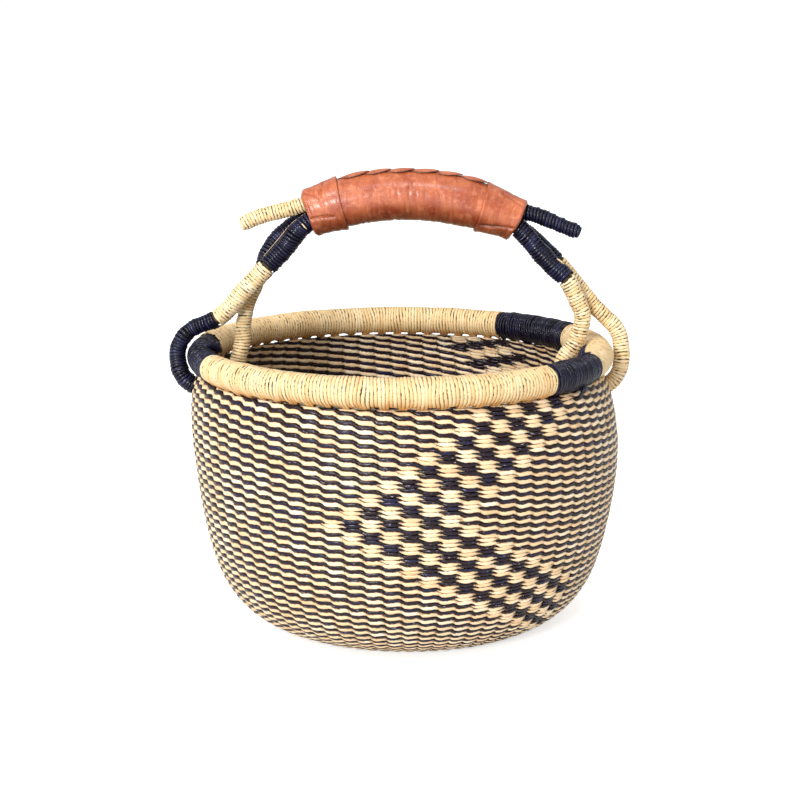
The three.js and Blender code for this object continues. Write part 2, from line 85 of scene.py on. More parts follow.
class Finish:
    """The nodes of a new material or a new world."""

    def __init__(self, made):
        self.made = made
        made.use_nodes = True
        self.tree = made.node_tree
        self.tree.nodes.clear()

    def node(self, kind, settings=None, inputs=None, output=0):
        node = self.tree.nodes.new("ShaderNode" + kind)
        for name, value in (settings or {}).items():
            setattr(node, name, value)
        for name, value in (inputs or {}).items():
            if isinstance(value, Signal):
                self.tree.links.new(value.socket, node.inputs[name])
            else:
                node.inputs[name].default_value = value
        return Signal(self, node.outputs[output]) if node.outputs else None

    def attribute(self, name, output):
        return self.node("Attribute", {"attribute_name": name}, {}, output)

    def on_object(self):
        return self.node("TexCoord", {}, {}, "Object")

    def mix(self, share, first, second):
        """Two colours: the Mix node keeps its colour sockets at 6 and 7, and gives the colour at 2."""
        return self.node("Mix", {"data_type": "RGBA"}, {0: share, 6: first, 7: second}, output=2)

    def noise(self, place, scale, detail, roughness, distortion=0.0):
        inputs = dict(Vector=place, Scale=scale, Detail=detail, Roughness=roughness, Distortion=distortion)
        return self.node("TexNoise", {}, inputs)

    def stretched(self, place, *factors):
        return self.node("VectorMath", {"operation": "MULTIPLY"}, {0: place, 1: factors})

    def bump(self, height, strength, distance):
        return self.node("Bump", {}, {"Height": height, "Strength": strength, "Distance": distance})

    def surface(self, **inputs):
        sockets = {name.replace("_", " "): value for name, value in inputs.items()}
        shader = self.node("BsdfPrincipled", {}, sockets)
        self.node("OutputMaterial", {}, {"Surface": shader})
        return self.made


def colour(red, green, blue):
    """A colour as seen on screen, 0 to 255, as the linear numbers that a shader takes."""
    shares = [value / 255 for value in (red, green, blue)]
    return (*[s / 12.92 if s <= 0.04045 else ((s + 0.055) / 1.055) ** 2.4 for s in shares], 1.0)


print("signals ready")

# %% [markdown]
# ## Straw
# Each straw is a flat stem with long fibres, a slight shine and a tone of its own. A pattern laid over the
# whole basket would run across the stitches. So every strand carries an attribute with its distance along
# the straw, its distance across it, and the tone of that stitch or turn, and the fibres follow the straw
# wherever it bends. A second attribute says where a straw lies in a crevice beside its neighbours, and
# painted shade darkens it there.

# %% Straw finishes
# How quickly each pattern changes along the straw, across it, and from one tone to the next.
FIBRES = (120, 2600, 900)
PATCHES = (160, 300, 700)
GLINTS = (190, 1500, 1300)
GAPS = (330, 200, 60)
AGEING = 28.0


def straw(name, gap_shade, shadow, middle, light, glint, glint_share, rough, gap_from, gloss=0.45):
    """Five colours: painted shade in the gaps beside a straw, three tones of the straw, and its glints."""
    finish = Finish(bpy.data.materials.new(name))
    strand = finish.attribute("strand", "Vector")
    tone = finish.node("SeparateXYZ", {}, {"Vector": strand}, "Z")
    hollow = finish.attribute("hollow", "Fac")
    fibres = finish.noise(finish.stretched(strand, *FIBRES), 1.0, 3.0, 0.6)
    patches = finish.noise(finish.stretched(strand, *PATCHES), 1.0, 2.0, 0.5)
    ageing = finish.noise(finish.on_object(), AGEING, 2.0, 0.5)
    # The level mixes the straw's own random tones, and on the rim's underside also painted shade, which
    # lowers the tone towards the shadow colour.
    level = tone * 0.3 + patches * 0.55 + fibres * 0.3 + ageing * 0.2
    base = finish.mix(level.between(0.3, 0.68), shadow, middle)
    base = finish.mix(level.between(0.66, 0.98), base, light)
    glints = finish.noise(finish.stretched(strand, *GLINTS), 1.0, 2.0, 0.6)
    base = finish.mix(glints.between(0.74 - glint_share, 0.8 - glint_share), base, glint)
    gaps = finish.noise(finish.stretched(strand, *GAPS), 1.0, 1.0, 0.5)
    # Painted shade: in the crevices beside its neighbours the straw darkens to its shadow colour, and in
    # spots to the gap colour.
    base = finish.mix(hollow.between(0.3, 1.0) * 0.4, base, shadow)
    base = finish.mix(hollow.between(0.2, 0.5) * gaps.between(gap_from, gap_from + 0.08), base, gap_shade)
    relief = finish.bump(fibres + patches * 0.5, 0.35, 0.0004)
    roughness = fibres * 0.25 + (rough - 0.12)
    return finish.surface(Base_Color=base, Roughness=roughness, Normal=relief, Specular_IOR_Level=gloss)


weave_natural = straw(
    "natural_stitches", gap_shade=colour(104, 62, 42), shadow=colour(208, 160, 110), middle=colour(235, 206, 163),
    light=colour(247, 233, 207), glint=colour(255, 250, 240), glint_share=0.05, rough=0.5, gap_from=0.475,
)
weave_navy = straw(
    "navy_stitches", gap_shade=colour(10, 6, 8), shadow=colour(28, 14, 15), middle=colour(33, 19, 27),
    light=colour(27, 30, 66), glint=colour(200, 190, 206), glint_share=0.07, rough=0.22, gap_from=0.3,
    gloss=0.3,
)
binding_natural = straw(
    "natural_turns", gap_shade=colour(64, 38, 14), shadow=colour(208, 150, 82), middle=colour(229, 199, 148),
    light=colour(241, 224, 187), glint=colour(255, 244, 216), glint_share=0.04, rough=0.5, gap_from=0.52,
)
binding_navy = straw(
    "navy_turns", gap_shade=colour(3, 3, 6), shadow=colour(8, 7, 18), middle=colour(19, 18, 40),
    light=colour(40, 41, 76), glint=colour(150, 150, 180), glint_share=0.03, rough=0.2, gap_from=0.3,
    gloss=0.28,
)
WEAVE = {True: weave_navy, False: weave_natural}
BINDING = {True: binding_navy, False: binding_natural}
print("straw finishes", [finish.name for finish in (*WEAVE.values(), *BINDING.values())])

# %% [markdown]
# ## Soft steps and bells
# Hand work has no hard edges, so most of what follows eases from one value to another, or swells like a bell
# round a place.

# %% Helpers


def eased(value, low, high):
    """0 below low, 1 above high, smooth between."""
    share = np.clip((value - low) / (high - low), 0, 1)
    return share * share * (3 - 2 * share)


def bell(distance, width):
    """1 where the distance is 0, and next to nothing beyond two widths."""
    return np.exp(-((distance / width) ** 2))


def short_way(angle, other):
    """How far an angle is from another one, the short way round."""
    return (angle - other + math.pi) % math.tau - math.pi


print("a bell one width off:", round(float(bell(1, 1)), 2))

# %% [markdown]
# ## The bowl's outline
# The bowl was shaped by hand, so it is round but leans a little to the right below its rim. The weave has to
# ask where it lies, so the outline is a function and not an object. A smooth curve through its points gives,
# for any distance from the middle of the base, the radius, the height and the outward direction.

# %% Outline
PER_SPAN = 24


def smooth_path(points):
    """A centripetal Catmull-Rom curve through points, as many closer points."""
    points = np.array(points, dtype=float)
    ends = np.vstack([2 * points[0] - points[1], points, 2 * points[-1] - points[-2]])
    path = []
    for a, b, c, d in zip(ends, ends[1:], ends[2:], ends[3:]):
        pairs = ((a, b), (b, c), (c, d))
        knots = np.cumsum([0] + [math.dist(p, q) ** 0.5 for p, q in pairs])
        t = np.linspace(knots[1], knots[2], PER_SPAN, endpoint=False)[:, None]

        def between(p, q, low, high):
            return p * (high - t) / (high - low) + q * (t - low) / (high - low)

        ab, bc, cd = (between(p, q, knots[i], knots[i + 1]) for i, (p, q) in enumerate(pairs))
        abc = between(ab, bc, knots[0], knots[2])
        bcd = between(bc, cd, knots[1], knots[3])
        path.append(between(abc, bcd, knots[1], knots[2]))
    return np.vstack([*path, points[-1:]])


def lengths_along(path):
    return np.concatenate([[0], np.cumsum(np.linalg.norm(np.diff(path, axis=0), axis=1))])


# Radius and height, in millimetres, from the middle of the base up to the rim.
OUTLINE = [
    (0, 2.3), (30, 2.3), (55, 2.3), (77, 2.3), (82.8, 2.6), (90.3, 4.2), (98.9, 7.5), (108, 13.2),
    (116.8, 21.7), (124.6, 33.8), (130.8, 50), (135.7, 70.4), (139, 89.4), (141, 105.9), (142.3, 126),
    (142, 137.7), (141, 148.5), (139.3, 158), (137, 165.7), (134, 171.2), (129.5, 177), (123, 185),
]
outline = smooth_path(OUTLINE) * MM
outline_length = lengths_along(outline)
outline_slope = np.gradient(outline, axis=0)
outline_slope /= np.linalg.norm(outline_slope, axis=1)[:, None]
BODY_LEAN = 4.5 * MM
RIM_HEIGHT = 183 * MM
LEAN_HEIGHT = 80 * MM


def on_bowl(angle, length, depth):
    """The point at an angle round the bowl, a length from its middle, and a depth out of the weave."""
    radius, height, slope_r, slope_z = (
        np.interp(length, outline_length, column) for column in (*outline.T, *outline_slope.T)
    )
    radius = radius + depth * slope_z
    height = height - depth * slope_r
    lean = BODY_LEAN * eased(RIM_HEIGHT - height, 0, LEAN_HEIGHT)
    return np.stack([radius * np.cos(angle) + lean, radius * np.sin(angle), height], axis=1)


print("outline", round(outline_length[-1] / MM), "mm from the middle of the base to above the rim")

# %% [markdown]
# ## The step pattern
# Every course twists a navy and a natural straw round the stakes, and the weaver decides at each stake which
# one lies outside. Plain rows alternate. Where a stitch is flipped, three rows join into one block, and the
# blocks climb four rows a stake on one side of an arrow and fall two rows a stake on the other. Such an
# ornament is a rule on whole numbers, so a function states it.

# %% Pattern
STAKES = 72
STAKE_OFFSET = 0.2
REPEAT = 24
# The tip of an arrow, and then how its blocks climb and fall and how far its arms reach.
ARROW_STAKE, ARROW_ROW = 51, 73
CLIMB, FALL = 4, 2
BLOCK_PITCH = 6
ARM_BLOCKS = 3
LOWER_ARM = 13
SHORT_ARM, SHORT_ARM_STAKE = 8, 27
LAST_ROW_OF_BASE = 31


def navy_outside(row, stake):
    """Whether the navy straw lies outside, by row from the middle of the base and by stake."""
    plain = (row - ARROW_ROW) % 2 == 1
    column = (stake - ARROW_STAKE + 1) % REPEAT - 1
    down = ARROW_ROW - row
    top, bottom = -CLIMB * column, FALL * column
    arm = BLOCK_PITCH * ARM_BLOCKS
    half = BLOCK_PITCH // 2
    near_top = (down - top) < arm
    last_column = np.where((stake - column) % STAKES == SHORT_ARM_STAKE, SHORT_ARM, LOWER_ARM)
    near_bottom = ((bottom - down) < arm) & (column <= last_column)
    navy_block = (down >= top) & (down <= bottom) & ((down - top) % BLOCK_PITCH == 0)
    natural_block = (down >= top - half) & (down <= bottom + half) & ((down - top + half) % BLOCK_PITCH == 0)
    in_arrow = (near_top | near_bottom) & (column >= 0) & (row > LAST_ROW_OF_BASE)
    flipped = (navy_block | natural_block) & in_arrow
    flipped |= (column == -1) & (down == 1)
    return plain ^ flipped


print("pattern: an arrow every", REPEAT, "stakes")

# %% [markdown]
# ## The loom
# Modelling the stitches on the round wall would be hard, so they are made on a loom first. One spin turns a
# small circle into a ring with six steps for each stake, and a second spin copies the ring upwards, once for
# each row. The loom's sizes have no unit: they only keep the strands apart, so each point still tells its
# row and its step.

# %% Loom
STEPS = 6
SIDES = 6
LOOM_RADIUS = 400.0
LOOM_PITCH = 4.0
UPRIGHT = {"axis": (0, 0, 1), "cent": (0, 0, 0)}


def everything(cloth):
    return cloth.verts[:] + cloth.edges[:] + cloth.faces[:]


def copied_along(cloth, step, count):
    """Repeats everything made so far, count times in all, each one step further."""
    bmesh.ops.spin(
        cloth, geom=everything(cloth), angle=0, dvec=step, steps=count - 1, use_duplicate=True, **UPRIGHT,
    )


def fill_ends(cloth):
    bmesh.ops.holes_fill(cloth, edges=[edge for edge in cloth.edges if edge.is_boundary], sides=0)


def taken_off(cloth, name):
    """Ends the work as a mesh, and gives the mesh with the x, y and z of all its points."""
    mesh = bpy.data.meshes.new(name)
    cloth.to_mesh(mesh)
    cloth.free()
    places = np.empty(len(mesh.vertices) * 3, dtype=np.float32)
    mesh.vertices.foreach_get("co", places)
    return mesh, *places.reshape(-1, 3).T.astype(float)


def loom(rings, stakes):
    """Rings of unit section, one for each strand, as a mesh with the place of each point on its ring."""
    cloth = bmesh.new()
    place = Matrix.Translation((LOOM_RADIUS, 0, 0)) @ Matrix.Rotation(math.pi / 2, 4, "X")
    bmesh.ops.create_circle(cloth, segments=SIDES, radius=1, matrix=place)
    steps = stakes * STEPS
    bmesh.ops.spin(cloth, geom=everything(cloth), angle=math.tau, steps=steps, use_merge=True, **UPRIGHT)
    bmesh.ops.recalc_face_normals(cloth, faces=cloth.faces)
    copied_along(cloth, (0, 0, LOOM_PITCH), rings)
    mesh, x, y, z = taken_off(cloth, "loom")
    ring = np.rint(z / LOOM_PITCH).astype(int)
    step = np.rint(np.arctan2(y, x) / math.tau * steps).astype(int) % steps
    return mesh, ring, step, np.hypot(x, y) - LOOM_RADIUS, z - ring * LOOM_PITCH


def make_piece(name, mesh, points, material, **notes):
    """Puts the points in place, notes the attributes that the finish reads, and makes the object."""
    mesh.name = name
    mesh.vertices.foreach_set("co", points.astype(np.float32).ravel())
    for title, values in notes.items():
        kind, field = ("FLOAT_VECTOR", "vector") if values.ndim == 2 else ("FLOAT", "value")
        note = mesh.attributes.new(title, kind, "POINT")
        note.data.foreach_set(field, values.astype(np.float32).ravel())
    mesh.shade_smooth()
    mesh.update()
    piece = bpy.data.objects.new(name, mesh)
    bpy.context.collection.objects.link(piece)
    mesh.materials.append(material)
    return piece


print("loom ready:", STEPS, "steps a stake,", SIDES, "sides a strand")

# %% [markdown]
# ## Weaving
# Now each ring is woven and laid on the bowl. At a stake a strand lies outside or inside, and between two
# stakes it may cross its partner, where it is thin and slips up or down. Tables give its shape at four marks
# from a stake to the middle of the gap. A weave made by hand is never even, so width, depth and place vary.

# %% Weaving on the bowl
ROW = 2.725 * MM
ROW_TILT = 0.11
WEAVE_DEPTH = 1.3 * MM
MARKS = [0, 1 / 3, 2 / 3, 1]
OUTSIDE = [1, 0.96, 0.8, 0.4]
INSIDE = [-1, -0.94, -0.74, -0.3]
CROSSING = [1, 0.92, 0.6, 0.0]
SLIP = [0, 0.17, 0.27, 0.0]
SLIP_INSIDE = 0.3
SLIP_CROSSING = [0, 0.14, 0.24, 0.27]
WIDTH = [0.6, 0.6, 0.55, 0.46]
WIDTH_CROSSING = [0.6, 0.57, 0.42, 0.25]
THICKNESS = [0.85, 0.6]
NAVY_WIDTH, NATURAL_WIDTH = 0.98, 1.05
UNEVEN_WIDTH, UNEVEN_PLACE, UNEVEN_DEPTH = 0.2, 0.09, 0.25
STITCH_WOBBLE = 0.14
UNEVEN_PLACES, STITCH_TONES = 20011, 20000


def woven(name, rows, stakes, navy):
    """The navy or the natural strands of some rows, woven and laid on the bowl."""
    mesh, ring, step, out, up = loom(len(rows), stakes)
    row = np.array(rows)[ring]
    nearest = (step + STEPS // 2) // STEPS
    turn = step / STEPS - nearest
    wall_stake = STAKES // stakes
    before, here, after = (
        navy_outside(row, (nearest + shift) % stakes * wall_stake) == navy for shift in (-1, 0, 1)
    )
    side = np.where(here, 1.0, -1.0)
    ahead = turn >= 0
    crossing = np.where(ahead, after, before) != here
    off_stake = np.abs(turn) * 2

    def marked(table):
        return np.interp(off_stake, MARKS, table)

    plain_depth = np.where(side > 0, marked(OUTSIDE), marked(INSIDE))
    depth = np.where(crossing, side * marked(CROSSING), plain_depth) * WEAVE_DEPTH
    slip = marked(SLIP) * np.where(side > 0, 1, SLIP_INSIDE)
    slip = np.where(crossing, marked(SLIP_CROSSING), slip) * side * np.where(ahead, 1, -1)
    width = np.where(crossing, marked(WIDTH_CROSSING), marked(WIDTH))
    width = width * (NAVY_WIDTH if navy else NATURAL_WIDTH)
    uneven = chance.random((4, UNEVEN_PLACES))[:, (row * 431 + step) % UNEVEN_PLACES] - 0.5
    width = width * (1 + UNEVEN_WIDTH * uneven[0])
    thickness = np.interp(off_stake, [0, 1], THICKNESS) * MM

    stitch = (row * 97 + nearest % stakes * 13 + (5 if navy else 0)) % STITCH_TONES
    tone = chance.random(STITCH_TONES)[stitch]
    wobble = (chance.random(STITCH_TONES)[stitch] - 0.5) * STITCH_WOBBLE + uneven[1] * UNEVEN_PLACE
    angle = (step / (STEPS * stakes) + STAKE_OFFSET / STAKES) * math.tau
    pitch = ROW * (1 - ROW_TILT * np.cos(angle))
    length = (row + 0.5 + slip + wobble * (1 - off_stake)) * pitch + up * width * pitch
    depth = depth + out * thickness + uneven[2] * UNEVEN_DEPTH * MM
    points = on_bowl(angle, np.abs(length), depth)
    along = angle * np.maximum(length, 0.02)
    strand = np.stack([along + row * 0.37, up * width * pitch, tone], axis=1)
    # Painted shade at the edges of a strand and where it runs between stakes to a crossing.
    hollow = np.clip(np.abs(up) ** 3 * 0.75 + off_stake**3 * 0.3, 0, 1)
    return make_piece(name, mesh, points, WEAVE[navy], strand=strand, hollow=hollow)


print("rows of", round(ROW / MM, 2), "mm, tilted by", round(ROW_TILT * 100), "%")

# %% [markdown]
# ## The bowl
# The base starts with twelve stakes and more are added as it grows, up to seventy-two in the wall. The rows
# tilt, so they run out under the rim on the left first. All strands are cut under the rim's binding.

# %% Bowl
WALL_TOP = 172.0 * MM
ZONES = [
    ("base", [
        (12, range(0, 4)), (24, range(4, 11)), (36, range(11, 21)), (72, range(21, LAST_ROW_OF_BASE + 1)),
    ]),
    ("wall_low", [(72, range(LAST_ROW_OF_BASE + 1, 62))]),
    ("wall_middle", [(72, range(62, 92))]),
    ("wall_high", [(72, range(92, 124))]),
]


def cut_above(piece, height):
    cut = bmesh.new()
    cut.from_mesh(piece.data)
    bmesh.ops.bisect_plane(
        cut, geom=everything(cut), plane_co=(0, 0, height), plane_no=(0, 0, 1), clear_outer=True,
    )
    fill_ends(cut)
    cut.to_mesh(piece.data)
    cut.free()


def joined(name, pieces):
    if len(pieces) > 1:
        with bpy.context.temp_override(active_object=pieces[0], selected_editable_objects=pieces):
            bpy.ops.object.join()
    pieces[0].name = name
    pieces[0].data.name = name
    return pieces[0]


def triangles(piece):
    return sum(len(polygon.vertices) - 2 for polygon in piece.data.polygons)


for zone, bands in ZONES:
    for shade, navy in (("navy", True), ("natural", False)):
        parts = [woven(f"{zone}_{shade}_{stakes}", rows, stakes, navy) for stakes, rows in bands]
        piece = joined(f"{zone}_{shade}", parts)
        if zone == "wall_high":
            cut_above(piece, WALL_TOP)
        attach(piece, "basket")
        print(piece.name, triangles(piece), "triangles")

# %% [markdown]
# ## Stakes
# The stakes hold the bowl's shape. They hardly show, but without them light would pass between the courses,
# and their ends carry the rim. One flat straw bundle is extruded on the loom, spun into seventy-two copies
# and laid along the outline. Near the middle of the base the stakes get thinner, to have room.

# %% Stakes
STAKE_STEPS = 32
STAKE_START, STAKE_TOP = 8 * MM, 172.6 * MM
STAKE_HALF_WIDTH, STAKE_HALF_THICKNESS = 2.5 * MM, 0.75 * MM
# The outline only rises after this many of its points.
WALL_FROM = 200


def stakes_of_bowl():
    bundle = bmesh.new()
    place = Matrix.Translation((LOOM_RADIUS, 0, 0))
    bmesh.ops.create_circle(bundle, cap_ends=True, segments=6, radius=1, matrix=place)
    top = bundle.faces[:]
    for _ in range(STAKE_STEPS):
        made = bmesh.ops.extrude_face_region(bundle, geom=top)
        if top[0].calc_center_median().z > 0.5:
            bmesh.ops.delete(bundle, geom=top, context="FACES_ONLY")
        verts = [item for item in made["geom"] if isinstance(item, bmesh.types.BMVert)]
        bmesh.ops.translate(bundle, verts=verts, vec=(0, 0, LOOM_PITCH))
        top = [item for item in made["geom"] if isinstance(item, bmesh.types.BMFace)]
    bmesh.ops.recalc_face_normals(bundle, faces=bundle.faces)
    stake = everything(bundle)
    bmesh.ops.spin(bundle, geom=stake, angle=math.tau, steps=STAKES, use_duplicate=True, **UPRIGHT)
    mesh, x, y, z = taken_off(bundle, "stakes")
    number = np.rint(np.arctan2(y, x) / math.tau * STAKES) % STAKES
    turned = short_way(np.arctan2(y, x), number / STAKES * math.tau)
    across = np.hypot(x, y) * np.sin(turned)
    out = np.hypot(x, y) * np.cos(turned) - LOOM_RADIUS
    share = z / (STAKE_STEPS * LOOM_PITCH)
    top_length = np.interp(STAKE_TOP, outline[WALL_FROM:, 1], outline_length[WALL_FROM:])
    length = STAKE_START + share * (top_length - STAKE_START)
    middle = (number + STAKE_OFFSET) / STAKES * math.tau
    width = np.minimum(STAKE_HALF_WIDTH, length * math.tau / STAKES * 0.3)
    placed = on_bowl(middle, length, out * STAKE_HALF_THICKNESS)
    sideways = np.stack([-np.sin(middle), np.cos(middle), np.zeros_like(middle)], axis=1)
    placed += sideways * (across * width)[:, None]
    strand = np.stack([length, across * width, number % 7 / 7], axis=1)
    # All the stakes get half of the painted crevice shade, as they lie between the courses.
    return make_piece("stakes", mesh, placed, weave_natural, strand=strand, hollow=np.full(len(placed), 0.5))


stakes = stakes_of_bowl()
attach(stakes, "basket")
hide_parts("wall_weave", "base_weave")
print("stakes", triangles(stakes), "triangles")

# %% [markdown]
# ## Turns of straw
# A binding is one straw wound round a core. A circle is spun round the core's axis while it moves along,
# which is a screw. It is wound straight and wide apart first, so each point knows its turn, and then the
# turns are pushed together and bent along the rim or the handle rod. Navy turns are less even in the
# photograph, so each straw has its own sizes, in millimetres.

# %% Straight windings
TurnSize = namedtuple("TurnSize", "wander uneven thick wide")
UNEVEN_TURNS = 4000


def winding(turns, steps, sides):
    """A straw wound round a straight core, with each point's turn, its fraction too, and its section."""
    spiral = bmesh.new()
    place = Matrix.Translation((LOOM_RADIUS, 0, 0))
    bmesh.ops.create_circle(spiral, segments=sides, radius=1, matrix=place)
    bmesh.ops.spin(
        spiral, geom=everything(spiral), axis=(0, 1, 0), cent=(0, 0, 0), angle=math.tau, steps=steps,
        dvec=(0, LOOM_PITCH / steps, 0),
    )
    copied_along(spiral, (0, LOOM_PITCH, 0), turns)
    bmesh.ops.remove_doubles(spiral, verts=spiral.verts, dist=0.01)
    fill_ends(spiral)
    bmesh.ops.recalc_face_normals(spiral, faces=spiral.faces)
    mesh, x, y, z = taken_off(spiral, "winding")
    part = (np.arctan2(-z, x) / math.tau) % 1
    turn = np.rint(y / LOOM_PITCH - part) + part
    return mesh, turn, np.hypot(x, z) - LOOM_RADIUS, y - turn * LOOM_PITCH


def per_turn(turn, spread):
    """A random number for each turn, eased from one to the next."""
    numbers = (chance.random(UNEVEN_TURNS) - 0.5) * spread
    whole = np.floor(turn).astype(int)
    part = turn - whole
    return numbers[whole % UNEVEN_TURNS] * (1 - part) + numbers[(whole + 1) % UNEVEN_TURNS] * part


def turn_crevice_shade(along, out):
    """Painted shade for a turn: in the crevices at its two edges, and on its inner side."""
    return np.abs(along) ** 2 * 0.75 + np.where(out < -0.2, 0.4, 0)


print("windings ready")

# %% [markdown]
# ## The rim
# Six stretches of binding cover the roll. On the real rim the straw goes round the roll and down through the
# weave beside a stake. Here the turns nearest to a stake are drawn together under the roll and down into the
# weave, so the binding ends below in a row of points, and light shows between them.

# %% Rim bindings
RIM_RADIUS = 134 * MM
RIM_TURN = 2.25 * MM
RIM_STRAW_RADIUS = 8.95 * MM
RIM_NAVY = TurnSize(wander=2.6, uneven=0.8, thick=1.2, wide=1.1)
RIM_NATURAL = TurnSize(wander=1.8, uneven=0.35, thick=0.66, wide=1.24)
RIM_STRAW_IN_A_TURN = 56.3 * MM
DRAWN_DOWN = 2.8
PULLED_TIGHT = {"left": 1.2}
STAKE_ANGLE = math.tau / STAKES
# Where each stretch starts and ends, in degrees from the right, and whether it is navy.
RIM_STRETCHES = [
    ("front", -154, -46.5, False), ("front_right", -46.5, -23, True), ("right", -23, 25, False),
    ("back_right", 25, 56, True), ("back", 56, 170, False), ("left", 170, 206, True),
]


def rim_binding(name, start, end, navy):
    """A stretch of the rim between two angles. The left one is tighter, to leave room for the handle."""
    size = RIM_NAVY if navy else RIM_NATURAL
    start, end = math.radians(start), math.radians(end)
    turns = round((end - start) * RIM_RADIUS / RIM_TURN)
    mesh, turn, out, along = winding(turns, steps=24, sides=6)
    part = (turn % 1) * math.tau
    below = np.abs(part - math.pi)
    angle = start + turn * RIM_TURN / RIM_RADIUS
    stake = (np.rint(angle / STAKE_ANGLE - STAKE_OFFSET) + STAKE_OFFSET) * STAKE_ANGLE
    at_stake = 1 - eased(np.abs(angle - stake) / STAKE_ANGLE, 0.2, 0.34)
    gathered = bell(below, 0.2) * at_stake
    slack = np.sin(part * 2 + per_turn(turn / 4, 5)) * per_turn(turn / 3, size.wander)
    angle = angle + (stake - angle) * 0.5 * gathered + (slack + along * size.wide) * MM / RIM_RADIUS
    swell = per_turn(turn / 9, 0.7) + per_turn(turn, size.uneven) - PULLED_TIGHT.get(name, 0)
    radius = RIM_STRAW_RADIUS + (swell + out * size.thick + gathered * DRAWN_DOWN) * MM
    lift = radius * np.cos(part)
    reach = RIM_RADIUS + radius * np.sin(part)
    points = np.stack([reach * np.cos(angle), reach * np.sin(angle), RIM_HEIGHT + lift], axis=1)
    # Painted shade in the crevices between turns and where they are drawn down; under the roll the tone is
    # lowered, which is painted shade on the underside.
    hollow = np.clip(turn_crevice_shade(along, out) + gathered * 0.4, 0, 1)
    tone = per_turn(np.floor(turn), 0.8) + 0.5 - 1.3 * bell(below, 0.8)
    strand = np.stack([turn * RIM_STRAW_IN_A_TURN, along * 1.2 * MM, tone], axis=1)
    piece = make_piece(f"rim_{name}", mesh, points, BINDING[navy], strand=strand, hollow=hollow)
    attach(piece, "basket")
    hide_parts(f"rim_binding_{name}")
    return piece


rim = [rim_binding(*stretch) for stretch in RIM_STRETCHES]
print("rim bindings", sum(triangles(piece) for piece in rim), "triangles")

# %% [markdown]
# ## The handle rod
# One long rod of bound straw goes three times through the grip. Outside the grip it makes four runs: two
# stubs, and on each side a run that goes down in front, loops round the rim and through the wall, and comes
# back up behind. The points are those of the model, in millimetres. They reach one point into the grip.

# %% Route of the rod
LEFT_STUB = [
    (-105.8, -1.2, 269.4), (-98.9, -1.2, 272.8), (-90.3, -1.2, 276), (-79.8, -1.2, 278.6),
    (-70.3, -1.2, 281.1), (-62.8, -1.2, 283.6), (-39, -3.4, 290.2),
]
RIGHT_RUN = [
    (56.2, -6.9, 279.1), (77.3, -6, 268.4), (84.5, -6.4, 261.7), (93.5, -6.5, 251.3), (102.6, -6.4, 241.8),
    (110.8, -6.4, 234.2), (117.5, -6.3, 221.5), (122.3, -5.7, 209.2), (121.1, -4.8, 199.3),
    (116.7, -4, 188.3), (109.9, -3, 177.8), (112.5, -2.3, 167.7), (119.9, -1.5, 160.3), (130, -0.8, 157.7),
    (140.1, 0, 160.3), (147.5, 0.8, 167.7), (150.1, 1.5, 177.8), (149.6, 2.6, 188), (148.1, 3.5, 195),
    (144.6, 4.3, 200.9), (138.8, 5.1, 206.4), (131, 5.8, 214.1), (118.3, 6.4, 229.8), (106, 6.4, 244.2),
    (95.2, 6.5, 254.3), (84.5, 6.5, 263.6), (77.5, 6.3, 268.8), (55.2, 4.9, 275.7),
]
LEFT_RUN = [
    (-36.1, -3.7, 278.3), (-58.6, -5.5, 272.8), (-67.8, -6.1, 265.8), (-76.5, -6.4, 254.5),
    (-88.3, -6.4, 242.2), (-104.5, -6.3, 225.4), (-116, -5.4, 212.4), (-123.2, -4.3, 206.7),
    (-130.9, -2.9, 203.4), (-139.2, -2, 199.9), (-145.8, -1.8, 194.1), (-149.7, -1.6, 186.3),
    (-150.1, -1.5, 177.8), (-147.5, -0.8, 167.7), (-140.1, 0, 160.3), (-130, 0.8, 157.7),
    (-119.9, 1.5, 160.3), (-112.5, 2.3, 167.7), (-109.9, 3, 177.8), (-106.9, 4.8, 189.7),
    (-105.8, 6.1, 202.4), (-102.8, 6.4, 214.8), (-97.6, 6.4, 226.3), (-93.7, 6.4, 236.7), (-90.6, 6.4, 246),
    (-85.2, 6.4, 256), (-77.3, 6.5, 264), (-67.8, 6.6, 271), (-59.4, 6.7, 274.8), (-37.5, 7.1, 284),
]
RIGHT_STUB = [
    (58.8, 2, 287.1), (82, -0.2, 278.2), (90.2, -0.2, 276.1), (101, -0.2, 271.8), (111.1, -0.2, 267.5),
    (120, -0.2, 264.2),
]


class Run:
    """A smooth run of the rod, with a frame at each of its points that doesn't twist."""

    def __init__(self, points):
        self.path = smooth_path(points) * MM
        self.length = lengths_along(self.path)
        self.forward = np.gradient(self.path, axis=0)
        self.forward /= np.linalg.norm(self.forward, axis=1)[:, None]
        side = np.cross(self.forward[0], (0, 1, 0))
        sides = []
        for ahead in self.forward:
            side = side - ahead * side.dot(ahead)
            side = side / np.linalg.norm(side)
            sides.append(side)
        self.side = np.array(sides)
        self.other = np.cross(self.forward, self.side)

    def at_point(self, number):
        return self.length[number * PER_SPAN]

    def place(self, along, sideways, other):
        def at(table):
            return np.stack([np.interp(along, self.length, column) for column in table.T], axis=1)

        return at(self.path) + at(self.side) * sideways[:, None] + at(self.other) * other[:, None]


left_stub, right_run, left_run, right_stub = map(Run, (LEFT_STUB, RIGHT_RUN, LEFT_RUN, RIGHT_STUB))
print("the runs at the sides are", [round(run.length[-1] / MM) for run in (left_run, right_run)], "mm long")

# %% [markdown]
# ## The rod's bindings
# Each stretch says which node it stands for, its run, the two points between which it is bound, whether it
# is navy, and its radii in millimetres from one end to the other. The radii follow the photograph, where the
# rod is thicker in front and thin where it was pulled tight. The last turns of a stub close over its tip.

